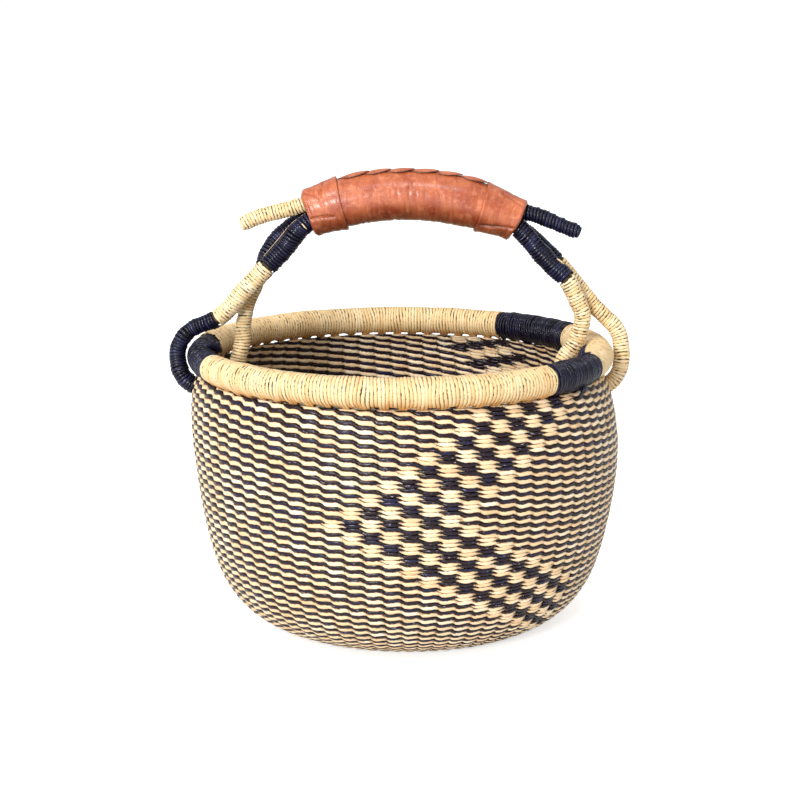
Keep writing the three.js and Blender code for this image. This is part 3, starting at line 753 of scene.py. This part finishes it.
# %% Rod bindings
ROD_STRETCHES = [
    ("left_stub_binding", left_stub, 0, 5, False, (4.7, 4.7, 4.8)),
    ("right_front_navy_binding", right_run, 1, 5, True, (5.6, 6.0, 5.8)),
    ("right_loop_binding", right_run, 5, 23, False, (5.7, 5.2, 5.1, 5.1, 5.1, 5.1, 5.0, 4.9)),
    ("right_back_navy_binding", right_run, 23, 26, True, (4.9, 5.1)),
    ("left_front_navy_binding", left_run, 1, 4, True, (5.7, 6.1, 5.8)),
    ("left_front_natural_binding", left_run, 4, 7, False, (5.9, 6.0, 5.5)),
    ("left_loop_binding", left_run, 7, 17, True, (5.3, 4.6, 5.5, 5.3, 5.1)),
    ("left_inner_binding", left_run, 17, 23, False, (5.1, 5.1, 4.3, 4.4)),
    ("left_back_navy_binding", left_run, 23, 28, True, (4.7, 5.1, 5.1)),
    ("right_stub_binding", right_stub, 1, 5, True, (4.7, 4.5, 4.4)),
]
ROD_TURN = 2.2 * MM
ROD_NAVY = TurnSize(wander=2.6, uneven=0.7, thick=0.85, wide=1.36)
ROD_NATURAL = TurnSize(wander=1.6, uneven=0.45, thick=0.6, wide=1.24)
ROD_STRAW_IN_A_TURN = 34 * MM
CAP_TURNS = 2
TIP_RADII = [0.08, 0.38, 0.7, 0.92, 1]
TIP_DEPTHS = [-1.9, -1.0, 0.4, 2.4]


def from_stub_tip(turn, length, at_start):
    """The distance from a stub's tip at which its turns lie, and the share of the radius they keep."""
    from_tip = turn if at_start else turn.max() - turn
    tip_turns, tip_length = len(TIP_DEPTHS) - 1, TIP_DEPTHS[-1] * MM
    beyond = (from_tip - tip_turns) / (turn.max() - tip_turns)
    in_tip = np.interp(from_tip, range(len(TIP_DEPTHS)), TIP_DEPTHS) * MM
    inward = np.where(beyond > 0, tip_length + beyond * (length - tip_length), in_tip)
    return inward, np.interp(from_tip, range(len(TIP_RADII)), TIP_RADII)


def rod_binding(node, run, first, last, navy, radii):
    size = ROD_NAVY if navy else ROD_NATURAL
    start, end = run.at_point(first), run.at_point(last)
    turns = round((end - start) / ROD_TURN) + (CAP_TURNS if "stub" in node else 0)
    mesh, turn, out, along = winding(turns, steps=16, sides=5)
    part = (turn % 1) * math.tau
    share = (turn + 0.5) / (turn.max() + 1)
    radius = np.interp(share, np.linspace(0, 1, len(radii)), radii)
    free = np.sin(share * (1 - share) * math.tau)
    shift = per_turn(turn / 3, size.wander) * MM * np.sin(part + per_turn(turn / 6, 4)) * free
    distance = start + share * (end - start) + shift
    if "stub" in node:
        at_start = node.startswith("left_stub")
        inward, kept = from_stub_tip(turn, end - start, at_start)
        radius = radius * kept
        distance = start + inward if at_start else end - inward
    distance += along * size.wide * MM
    spread = (radius + per_turn(turn, size.uneven) + out * size.thick) * MM
    points = run.place(distance, spread * np.cos(part), spread * np.sin(part))
    # Painted shade in the crevices between turns and on their inner side.
    hollow = np.clip(turn_crevice_shade(along, out), 0, 1)
    tone = per_turn(np.floor(turn), 1.0) + 0.75
    strand = np.stack([turn * ROD_STRAW_IN_A_TURN, along * 1.2 * MM, tone], axis=1)
    name = node.replace("_binding", "_turns")
    piece = make_piece(name, mesh, points, BINDING[navy], strand=strand, hollow=hollow)
    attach(piece, "handle")
    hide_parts(node)
    return piece


rod = [rod_binding(*stretch) for stretch in ROD_STRETCHES]
print("rod bindings", sum(triangles(piece) for piece in rod), "triangles")

# %% [markdown]
# ## Loose ends of straw
# Where a straw is used up, its end is tucked under the turns, and a little of it sticks out. On the left a
# navy end is knotted over the rim, and on the handle a few pale ends show beside the bindings. Each end is a
# small tube, made straight on the loom, laid along a few points and tapered by its radii.

# %% Loose ends
END_STEPS = 24
LOOSE_ENDS = [
    ("knot_left", True, "basket", (1.2, 3.0, 3.2, 1.2),
     [(-132, -22, 188.5), (-128, -21, 191.5), (-122.5, -17, 190), (-119.5, -13, 186)]),
    ("tuck_left", False, "basket", (1.6, 1.4, 0.5),
     [(-128, -22, 176), (-130, -24, 171.5), (-131.5, -25, 168)]),
    ("tab_right", True, "basket", (2.4, 2.2, 1.4, 0.2),
     [(117, -57, 189), (117.5, -55.5, 193), (118.5, -54.5, 196), (120.5, -54, 198)]),
    ("tail_right", True, "basket", (1.6, 1.5, 0.4),
     [(118, -77, 176), (116.5, -78.5, 172), (113.5, -80, 169.5)]),
    ("pale_straw", False, "handle", (0.1, 0.18, 0.18, 0.1),
     [(-62.6, -5, 278), (-72.4, -5, 270.5), (-82.2, -5.5, 259), (-90.8, -6, 249.2)]),
    ("pale_end", False, "handle", (0.3, 0.5, 0.2),
     [(-64.6, -12.4, 271.6), (-63, -13, 269.6), (-61.6, -12.6, 268)]),
    ("frayed_end", False, "handle", (0.3, 0.6, 0.2),
     [(104.2, -10, 248), (107, -9.5, 246), (109.4, -8, 243.6)]),
]


def straw_end(name, navy, body, radii, points):
    """A bent, tapered piece of straw through points, in millimetres like its radii."""
    tube = bmesh.new()
    bmesh.ops.create_circle(tube, segments=8, radius=1)
    bmesh.ops.spin(tube, geom=everything(tube), angle=0, dvec=(0, 0, LOOM_PITCH), steps=END_STEPS, **UPRIGHT)
    fill_ends(tube)
    bmesh.ops.recalc_face_normals(tube, faces=tube.faces)
    mesh, x, y, z = taken_off(tube, name)
    share = z / (END_STEPS * LOOM_PITCH)
    path = Run(points)
    along = share * path.length[-1]
    radius = np.interp(share, np.linspace(0, 1, len(radii)), radii) * MM
    radius *= 1 + 0.12 * np.sin(share * 40)
    laid = path.place(along, x * radius, y * radius)
    strand = np.stack([along, np.arctan2(y, x) * 2 * MM, np.full_like(share, 0.6)], axis=1)
    # The bands along the end take a little of the painted crevice shade.
    hollow = np.abs(np.sin(share * 20)) * 0.3
    piece = make_piece(name, mesh, laid, BINDING[navy], strand=strand, hollow=hollow)
    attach(piece, body)
    return piece


loose = [straw_end(*end) for end in LOOSE_ENDS]
print("loose ends", [piece.name for piece in loose])

# %% [markdown]
# ## Leather
# Reddish tan leather, pulled tight round the rods, so it has fine creases across. A hide is one sheet, so
# its colour varies softly on object coordinates. The seam is darker, and painted shade darkens the
# wrinkles, the folds and the underside; an attribute on the mesh says where the seam, folds and underside
# are.

# %% Leather finish
HIDE, MOTTLE, GRAIN = 60.0, 240.0, 1100.0
WRINKLES = (420, 60, 60)


def leather(name):
    finish = Finish(bpy.data.materials.new(name))
    place = finish.on_object()
    crease = finish.attribute("crease", "Fac")
    hide = finish.noise(place, HIDE, 3.0, 0.55, 0.4)
    mottle = finish.noise(place, MOTTLE, 3.0, 0.6)
    grain = finish.node("TexVoronoi", {"feature": "DISTANCE_TO_EDGE"}, {"Vector": place, "Scale": GRAIN})
    wrinkles = finish.noise(finish.stretched(place, *WRINKLES), 1.0, 4.0, 0.65, 0.6)
    base = finish.mix(hide.between(0.3, 0.7), colour(154, 66, 33), colour(194, 104, 62))
    base = finish.mix(mottle.between(0.5, 0.72) * 0.4, base, colour(230, 150, 108))
    # Painted shade in the wrinkles.
    base = finish.mix((1 - wrinkles.between(0.3, 0.52)) * 0.45, base, colour(128, 56, 32))
    # The seam's dark line, and painted shade in the folds and on the underside, from the attribute.
    base = finish.mix(crease.between(0.1, 0.9), base, colour(74, 30, 18))
    relief = finish.bump(wrinkles * 0.8 + grain.between(0.0, 0.12) * 0.12 + mottle * 0.2, 0.5, 0.0006)
    return finish.surface(
        Base_Color=base, Roughness=mottle * 0.3 + 0.16, Normal=relief, Specular_IOR_Level=0.6,
        Coat_Weight=0.25, Coat_Roughness=0.22,
    )


tan_leather = leather("creased_leather")
print("leather", tan_leather.name)

# %% [markdown]
# ## The grip
# The sleeve is a leather tube on an arc, so a circle is spun about the arc's centre, and its points are then
# pressed in and out. A cloth simulation would give folds too, but not where the photograph shows them.
# Solidify gives it thickness.

# %% Grip helpers
GRIP_ARC = 175 * MM
GRIP_CENTRE = Vector((3.3 * MM, 0, 114 * MM))
GRIP_LEFT, GRIP_RIGHT = math.radians(-21.3), math.radians(25.6)
GRIP_LENGTH = (GRIP_RIGHT - GRIP_LEFT) * GRIP_ARC
SLEEVE_RADIUS, LEFT_TAPER, RIGHT_TAPER = 17.0, 2.1, 3.7
SEAM_TURN = math.radians(-10)


def sleeve_radius(along):
    left = 1 - eased(along, 0, 27.6 * MM)
    right = eased(along, GRIP_LENGTH - 43 * MM, GRIP_LENGTH)
    return (SLEEVE_RADIUS - LEFT_TAPER * left - RIGHT_TAPER * right) * MM


def grip_tube(name, start, end, rings, around):
    """A tube along the grip's arc, with each point's distance along it and its turn from the top."""
    tube = bmesh.new()
    angle = GRIP_LEFT + start / GRIP_ARC
    place = (
        Matrix.Translation(GRIP_CENTRE) @ Matrix.Rotation(angle, 4, "Y")
        @ Matrix.Translation((0, 0, GRIP_ARC)) @ Matrix.Rotation(math.pi / 2, 4, "Y")
    )
    bmesh.ops.create_circle(tube, segments=around, radius=15 * MM, matrix=place)
    bmesh.ops.spin(
        tube, geom=everything(tube), axis=(0, 1, 0), cent=GRIP_CENTRE, angle=(end - start) / GRIP_ARC,
        steps=rings,
    )
    bmesh.ops.recalc_face_normals(tube, faces=tube.faces)
    mesh, x, y, z = taken_off(tube, name)
    x, z = x - GRIP_CENTRE.x, z - GRIP_CENTRE.z
    along = (np.arctan2(x, z) - GRIP_LEFT) * GRIP_ARC
    turn = np.arctan2(y, np.hypot(x, z) - GRIP_ARC)
    return mesh, along, turn


def on_grip(along, radius, turn):
    """A point by its distance along the grip, its radius from the grip's axis and its turn from the top."""
    angle = GRIP_LEFT + along / GRIP_ARC
    reach = GRIP_ARC + radius * np.cos(turn)
    return np.stack([
        GRIP_CENTRE.x + reach * np.sin(angle), radius * np.sin(turn), GRIP_CENTRE.z + reach * np.cos(angle),
    ], axis=1)


def creases(along, turn, count, low, high, depth):
    """Soft folds across the leather, each over part of its girth."""
    pressed = np.zeros_like(along)
    for place, middle, reach, sharp in chance.random((count, 4)):
        centre = low + place * (high - low) + 1.5 * MM * np.sin(turn * 2 + middle * 9)
        girth = bell(short_way(turn, middle * math.tau), 0.3 + 0.7 * reach)
        pressed += bell(along - centre, (0.4 + 0.7 * sharp) * MM) * girth * (0.4 + 0.6 * sharp)
    return pressed * depth


def underside_shade(turn):
    """Painted shade: the underside is darker."""
    return eased(np.abs(turn), 1.2, 2.4) * 0.5


def leather_piece(name, mesh, points, crease, node, thickness):
    piece = make_piece(name, mesh, points, tan_leather, crease=np.clip(crease, 0, 1))
    if thickness:
        shell = piece.modifiers.new("thickness", "SOLIDIFY")
        shell.thickness = thickness
        shell.offset = -1
        shell.use_even_offset = True
    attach(piece, "handle")
    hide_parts(node)
    return piece


print("grip", round(GRIP_LENGTH / MM), "mm along its arc")

# %% [markdown]
# ## Sleeve and cuffs
# Two rounded lips run beside the seam on top of the sleeve. The cuffs are wider tubes over its ends. The
# leather was pinched where it was pulled in, so each cuff has a few tucks, given as lines in millimetres
# along the grip and round it from the top, and a flap that stands out low in front.

# %% Sleeve and cuffs
SLEEVE_LEATHER, CUFF_LEATHER = 1.0 * MM, 1.1 * MM
CUFF_OVER_SLEEVE = 1.25
CUFF_LENGTHS = {"left": 23 * MM, "right": 27 * MM}
CUFF_FLAPS = {"left": 0.5, "right": 1.5}
TUCK_WIDTH, TUCK_DEPTH = 1.1, 1.1
GRIP_END = GRIP_LENGTH / MM
TUCKS = {
    "left": [((3, -8), (10.5, -17)), ((14.5, -4), (10.5, -17)), ((2, -30), (16, -33))],
    "right": [((GRIP_END - 24, -39), (GRIP_END - 2, -33)), ((GRIP_END - 1, -12), (GRIP_END - 16, -9))],
}


def sleeve():
    mesh, along, turn = grip_tube("sleeve", 1.2 * MM, GRIP_LENGTH - 1.2 * MM, rings=220, around=96)
    from_seam = short_way(turn, SEAM_TURN)
    seam = bell(from_seam, 0.05)
    lips = bell(np.abs(from_seam) - 0.12, 0.07)
    folds = creases(along, turn, 170, low=18 * MM, high=GRIP_LENGTH - 20 * MM, depth=0.3)
    folds *= 0.45 + 0.75 * eased(np.abs(turn), 1.0, 2.2)
    radius = sleeve_radius(along) + (lips * 0.35 - seam * 0.5 - folds) * MM
    radius *= 1 - 0.03 * np.cos(2 * turn)
    # The seam is darker, and painted shade darkens the folds and the underside.
    crease = seam + folds * 0.3 + underside_shade(turn)
    points = on_grip(along, radius, turn)
    return leather_piece("leather_sleeve", mesh, points, crease, "grip_sleeve", SLEEVE_LEATHER)


def near_line(x, y, first, last, width):
    """1 on the line between two places, 0 away from it."""
    (x0, y0), (x1, y1) = first, last
    share = ((x - x0) * (x1 - x0) + (y - y0) * (y1 - y0)) / ((x1 - x0) ** 2 + (y1 - y0) ** 2)
    share = np.clip(share, 0, 1)
    return bell(np.hypot(x - x0 - share * (x1 - x0), y - y0 - share * (y1 - y0)), width)


def cuff(side):
    length = CUFF_LENGTHS[side]
    start, end = (0.0, length) if side == "left" else (GRIP_LENGTH - length, GRIP_LENGTH)
    mesh, along, turn = grip_tube(f"cuff_{side}", start, end, rings=64, around=160)
    inward = along if side == "left" else GRIP_LENGTH - along
    folds = creases(along, turn, 22, low=start + 2 * MM, high=end - 2 * MM, depth=0.3)
    tuck = np.zeros_like(along)
    for first, last in TUCKS[side]:
        tuck = np.maximum(tuck, near_line(along / MM, np.degrees(turn) * 0.3, first, last, TUCK_WIDTH))
    hem = bell(inward - length + 1.2 * MM, 1.4 * MM) * 0.35
    mouth = bell(inward, 3.5 * MM) * 0.4 - bell(inward, 0.9 * MM) * 1.7
    flap = bell(inward - 0.62 * length, 3.2 * MM) * bell(turn + 2.5, 0.36) * CUFF_FLAPS[side]
    radius = sleeve_radius(along) + (CUFF_OVER_SLEEVE + hem + mouth + flap - folds - tuck * TUCK_DEPTH) * MM
    wave = bell(inward, 6 * MM) * (0.9 * np.sin(turn + 0.6) + 0.5 * np.sin(turn * 3)) * MM
    points = on_grip(along + wave, radius, turn)
    # Painted shade in the folds and tucks and on the underside.
    crease = folds * 0.3 + tuck**3 * 0.3 + underside_shade(turn)
    return leather_piece(f"leather_cuff_{side}", mesh, points, crease, f"grip_cuff_{side}", CUFF_LEATHER)


grip = [sleeve(), cuff("left"), cuff("right")]
print("grip", [piece.name for piece in grip])

# %% [markdown]
# ## The lacing
# A leather thong crosses the seam again and again, and each crossing shows as a flat leaf that overlaps the
# next. One long strip would need a twist at each crossing. A leaf is simpler: a sphere pressed flat, copied
# along the seam, with its far end lifted over the next one.

# %% Lacing
LACE_LEAVES = 6
LACE_START, LACE_END = 23.3 * MM, GRIP_LENGTH - 27.3 * MM
LEAF_HALF_WIDTH, LEAF_HALF_THICKNESS, LEAF_LIFT = 4.3, 0.95, 0.95


def lacing():
    pitch = (LACE_END - LACE_START) / (LACE_LEAVES + 0.3)
    leaf = bmesh.new()
    for number in range(LACE_LEAVES):
        place = Matrix.Translation((0, number * LOOM_PITCH, 0))
        bmesh.ops.create_uvsphere(leaf, u_segments=20, v_segments=12, radius=1, matrix=place)
    mesh, x, y, z = taken_off(leaf, "lacing")
    number = np.rint(y / LOOM_PITCH)
    y = y - number * LOOM_PITCH
    taper = 1 - 0.35 * y * y
    middle = LACE_START + pitch * (number + 0.65) + per_turn(number, 0.16) * pitch
    along = np.clip(middle + y * pitch * 0.66 + x * 1.6 * MM, LACE_START - 2 * MM, LACE_END + 2 * MM)
    across = x * LEAF_HALF_WIDTH * taper * MM - y * 1.2 * MM
    radius = sleeve_radius(along) + (0.5 + z * LEAF_HALF_THICKNESS * taper + y * LEAF_LIFT) * MM
    turn = SEAM_TURN + across / radius
    # Painted shade round the edge of each leaf and on its underside.
    crease = bell(np.hypot(x, y) - 1, 0.16) * 0.75 + np.where(z < 0, 0.4, 0)
    return leather_piece("lacing", mesh, on_grip(along, radius, turn), crease, "grip_lace", None)


lace = lacing()
print("lacing", triangles(lace), "triangles in", LACE_LEAVES, "leaves")

# %% [markdown]
# ## Cores
# The straw under the bindings shows only as a thread between turns, deep in shade, so the two cores of the
# model stay as they are and get a dark straw finish on object coordinates: painted shade.

# %% Core finish
STEMS = 900.0


def shaded_core_straw():
    finish = Finish(bpy.data.materials.new("shaded_core_straw"))
    stems = finish.noise(finish.on_object(), STEMS, 2.0, 0.6)
    # Painted shade: the core straw is coloured as dark as the gaps between turns.
    base = finish.mix(stems.between(0.35, 0.65), colour(34, 26, 22), colour(84, 66, 46))
    return finish.surface(Base_Color=base, Roughness=0.7, Normal=finish.bump(stems, 0.6, 0.0005))


bundle = shaded_core_straw()
for node in ("rim_core", "handle_rod"):
    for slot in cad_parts[node].material_slots:
        slot.material = bundle
print("cores finished")

# %% [markdown]
# ## Studio
# The photograph has a white ground and soft light from everywhere, a little more from the upper left. More
# light would wash out the straw, so the white is only for the camera: the floor glows for it, and the world
# is bright to it. Three soft lamps stand above the basket and in front of it.

# %% Floor and light
FLOOR_GLOW = 0.62
WORLD_LIGHT, WORLD_WHITE = 0.62, 1.05
LAMP_AIM = Vector((0, 0, 0.15))


def ground():
    """A matt floor that keeps the basket's shadow, and glows only for the camera."""
    sheet = bmesh.new()
    bmesh.ops.create_circle(sheet, cap_ends=True, segments=96, radius=14)
    mesh = taken_off(sheet, "ground")[0]
    floor = bpy.data.objects.new("ground", mesh)
    bpy.context.collection.objects.link(floor)
    finish = Finish(bpy.data.materials.new("white_ground"))
    seen = finish.node("LightPath", {}, {}, "Is Camera Ray")
    matt = finish.node("BsdfDiffuse", {}, {"Color": (0.93, 0.93, 0.93, 1)})
    glow = finish.node("Emission", {}, {"Color": (1, 1, 1, 1), "Strength": seen * FLOOR_GLOW})
    both = finish.node("AddShader", {}, {0: matt, 1: glow})
    finish.node("OutputMaterial", {}, {"Surface": both})
    mesh.materials.append(finish.made)


def daylight(level, white):
    """White to the camera and through clear things, and a plain level of light for all else."""
    sky = Finish(bpy.data.worlds.new("daylight"))
    bpy.context.scene.world = sky.made
    seen = sky.node("LightPath", {}, {}, "Is Camera Ray")
    through = sky.node("LightPath", {}, {}, "Is Transmission Ray")
    strength = seen.maths("MAXIMUM", seen, through) * (white - level) + level
    light = sky.node("Background", {}, {"Color": (1, 1, 1, 1), "Strength": strength})
    sky.node("OutputWorld", {}, {"Surface": light})


def lamp(name, place, size, power):
    """A round soft lamp that faces the basket, its size in metres and its power in watts."""
    light = bpy.data.lights.new(name, "AREA")
    light.shape = "DISK"
    light.size = size
    light.energy = power
    lamp_object = bpy.data.objects.new(name, light)
    bpy.context.collection.objects.link(lamp_object)
    lamp_object.location = place
    lamp_object.rotation_euler = (LAMP_AIM - Vector(place)).to_track_quat("-Z", "Y").to_euler()


ground()
daylight(WORLD_LIGHT, WORLD_WHITE)
lamp("upper_left", (-4.0, -3.6, 5.2), 1.8, 180)
lamp("front", (-2.6, -5.8, 1.9), 1.4, 300)
lamp("above", (0.6, -3.0, 5.8), 1.6, 95)
print("lamps", [item.name for item in bpy.data.lights])

# %% [markdown]
# ## Camera
# The rim shows as a flat ellipse, as it does from twelve degrees above level. The focal length was found in
# pixels of the photograph, which is 800 wide, and is turned into millimetres of the sensor.

# %% Camera
VIEW_TILT = math.radians(12)
VIEW_DISTANCE, VIEW_HEIGHT = 1.26, 0.15
FOCAL_PIXELS, PHOTO_WIDTH, SENSOR_WIDTH = 1853, 800, 36
camera = bpy.data.cameras.new("camera")
camera.lens = FOCAL_PIXELS / PHOTO_WIDTH * SENSOR_WIDTH
camera.sensor_width = SENSOR_WIDTH
camera.dof.use_dof = False
camera_object = bpy.data.objects.new("camera", camera)
bpy.context.collection.objects.link(camera_object)
camera_object.location = (
    0, -VIEW_DISTANCE * math.cos(VIEW_TILT), VIEW_HEIGHT + VIEW_DISTANCE * math.sin(VIEW_TILT),
)
camera_object.rotation_euler = (math.pi / 2 - VIEW_TILT, 0, 0)
bpy.context.scene.camera = camera_object
bpy.context.scene.view_settings.view_transform = "Standard"
print("camera at", [round(v, 3) for v in camera_object.location])
